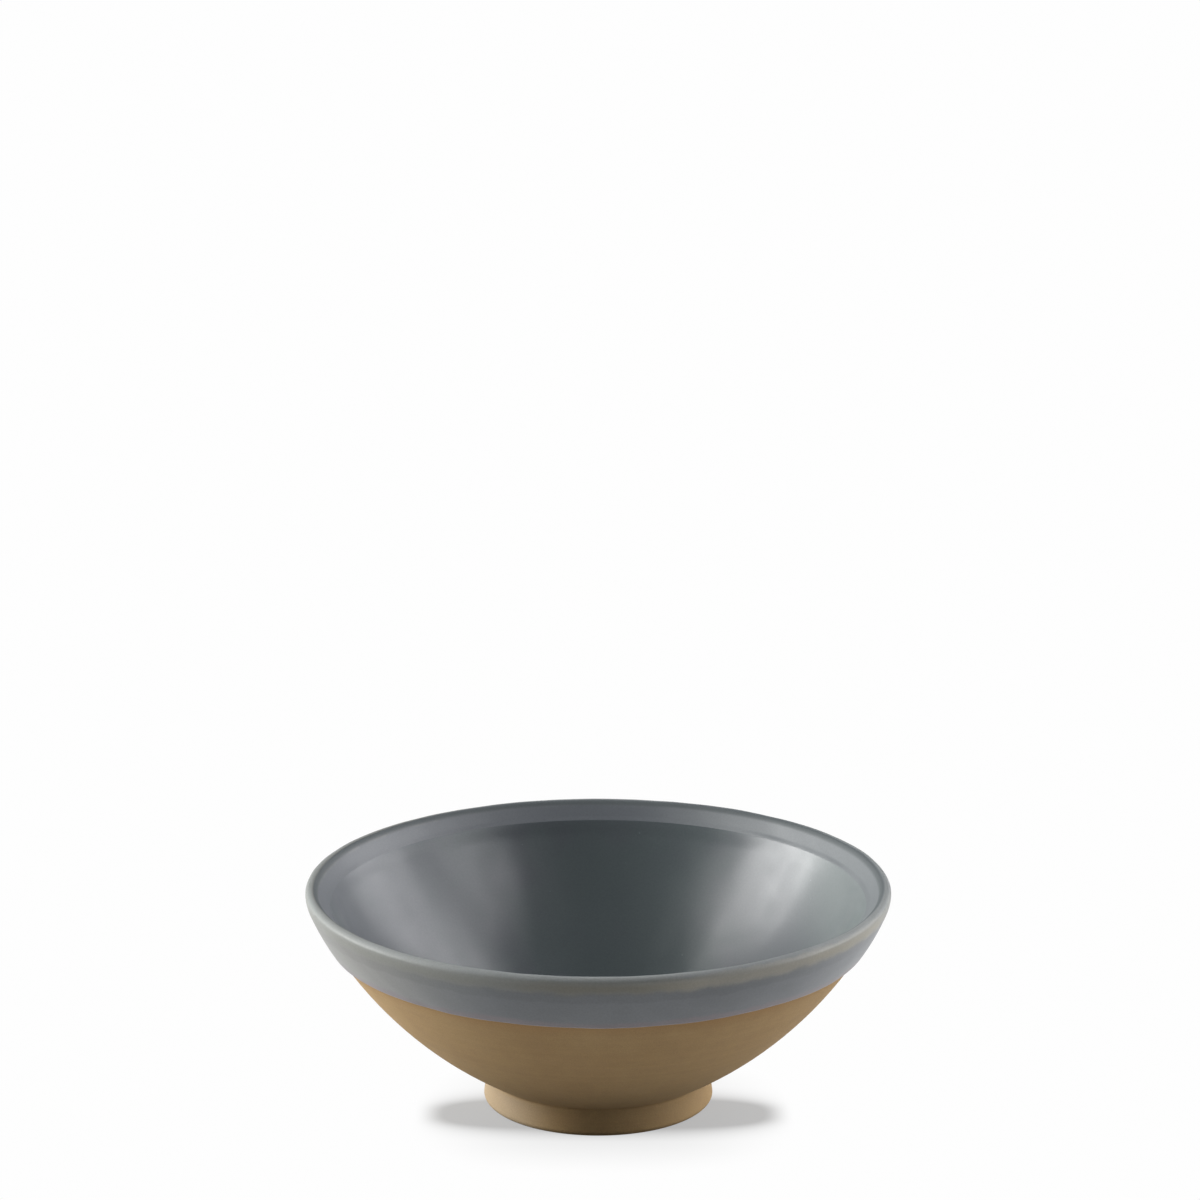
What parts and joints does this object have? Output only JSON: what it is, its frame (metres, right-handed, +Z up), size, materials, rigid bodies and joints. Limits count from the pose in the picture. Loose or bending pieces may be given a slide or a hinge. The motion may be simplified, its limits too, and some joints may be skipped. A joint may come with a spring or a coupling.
{
  "type": "conical bowl",
  "caption": "Wide conical bowl on a low foot ring: glazed inside, over the rim and in a band outside, with bare clay below, for serving food.",
  "frame": {"origin": "centre of the foot ring's underside, on the table", "axes": "+Z up the bowl's axis, towards its mouth"},
  "size_m": [0.21, 0.21, 0.0814],
  "materials": {
    "bare_clay": "matte, fine-grained, unglazed",
    "liner_glaze": "satin, dark grey-blue, faintly streaked",
    "rim_glaze": "satin, grey-blue, thin and olive at the lip"
  },
  "bodies": {
    "root": {"stoneware_shell": "bare_clay", "foot_ring": "bare_clay", "liner_glaze": "liner_glaze", "rim_glaze": "rim_glaze"}
  },
  "joints": []
}
